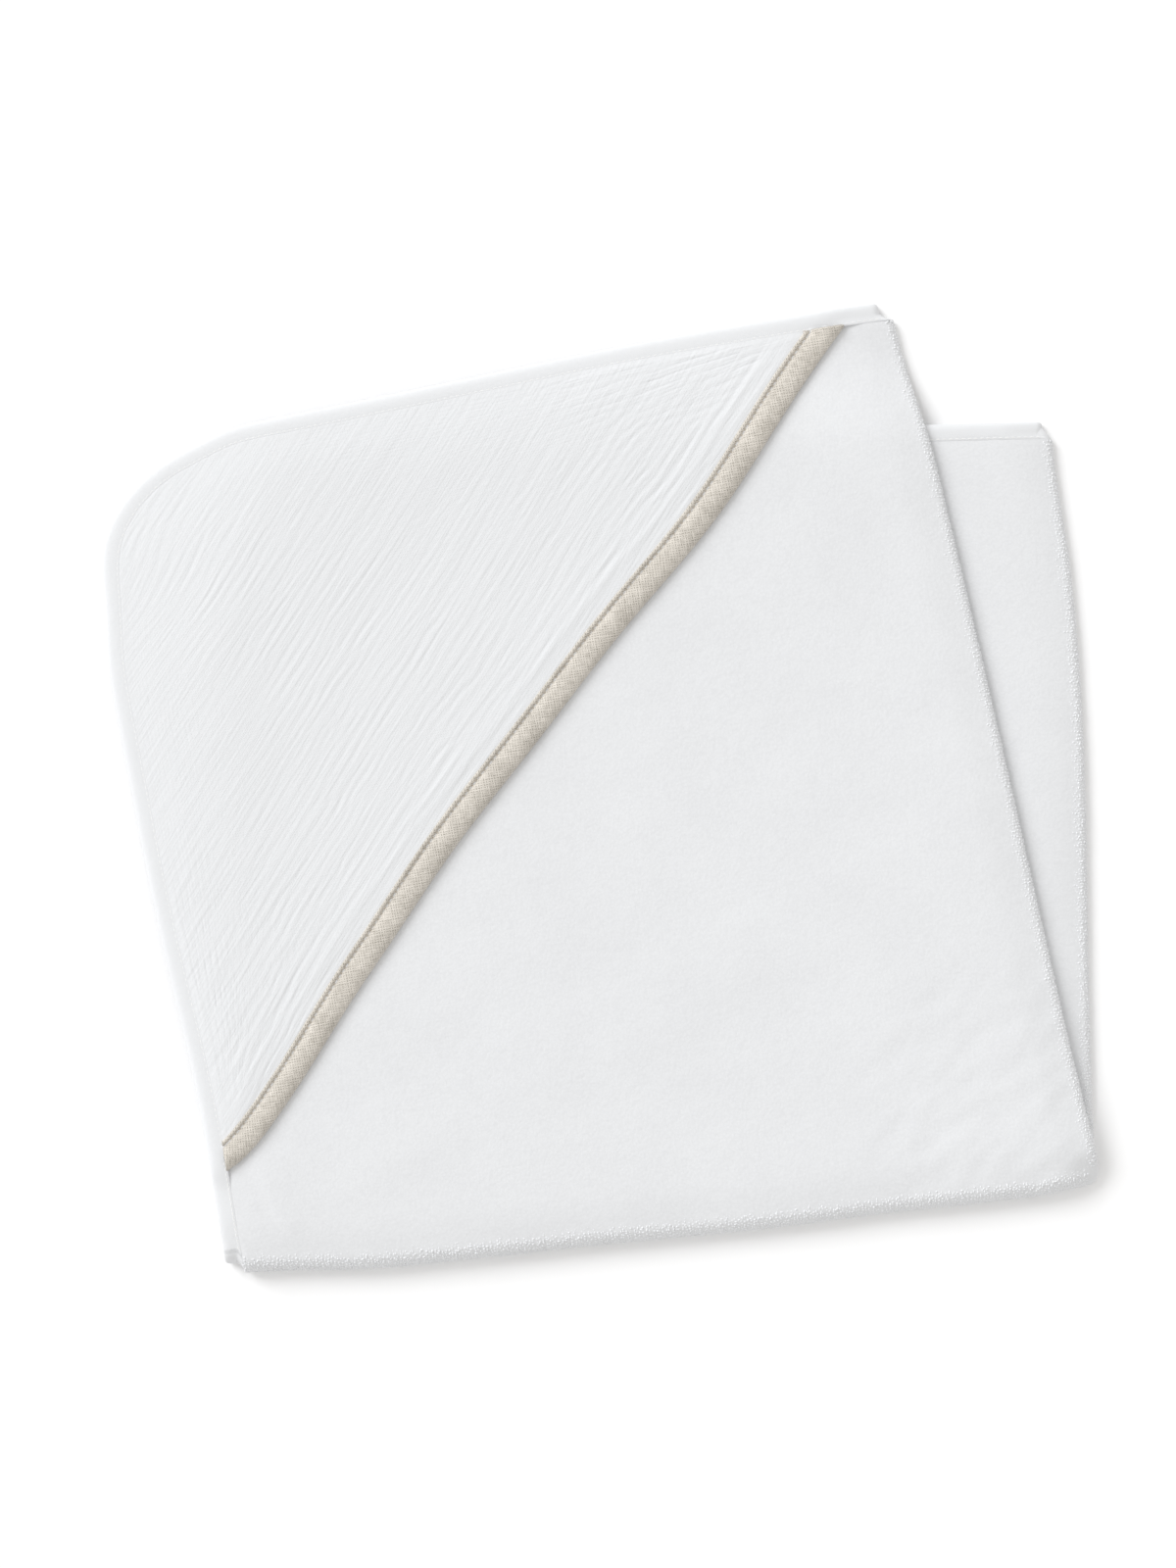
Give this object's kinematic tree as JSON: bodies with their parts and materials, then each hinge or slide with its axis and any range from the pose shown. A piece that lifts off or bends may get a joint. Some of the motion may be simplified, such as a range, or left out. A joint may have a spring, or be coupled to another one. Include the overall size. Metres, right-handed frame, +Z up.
{
  "type": "hooded baby towel",
  "caption": "Square terry towel with a crinkled gauze hood sewn over its corner and a beige tape on the hood's edge, folded in four and lying flat.",
  "frame": {"origin": "on the table, under the middle of the folded stack, on the flat underside of the base quarter", "axes": "+X along the bottom fold, from the bound edge to the side folds; +Y away from the bottom fold, towards the hood's corner; +Z up, through the four layers"},
  "size_m": [0.4465, 0.4205, 0.0197],
  "materials": {
    "terry": "short looped cotton pile, velvety",
    "gauze": "crinkled double gauze, matte",
    "binding": "fine plain-woven cotton tape, matte",
    "tape": "linen-look woven tape, matte",
    "thread": "spun sewing thread",
    "tape_thread": "spun sewing thread"
  },
  "bodies": {
    "upper_half": {"hood_quarter_terry": "terry", "side_quarter_terry": "terry", "upper_side_fold": "terry", "outer_fold_upper": "terry", "inner_fold_upper": "terry", "hood_lining": "terry", "hood_gauze": "gauze", "hood_edge_tape": "tape", "hood_tape_stitching": "tape_thread", "hood_quarter_binding": "binding", "side_quarter_binding": "binding", "upper_binding_stitching": "thread"},
    "lower_half": {"back_quarter_terry": "terry", "base_quarter_terry": "terry", "lower_side_fold": "terry", "outer_fold_lower": "terry", "inner_fold_lower": "terry", "back_quarter_binding": "binding", "base_quarter_binding": "binding", "lower_binding_stitching": "thread"}
  },
  "joints": [
    {"name": "bottom_fold", "type": "hinge", "parent": "upper_half", "child": "lower_half", "pos_m": [0, -0.1976, 0.0074], "axis": [-1, 0, 0], "range_deg": [0, 179.9]}
  ]
}
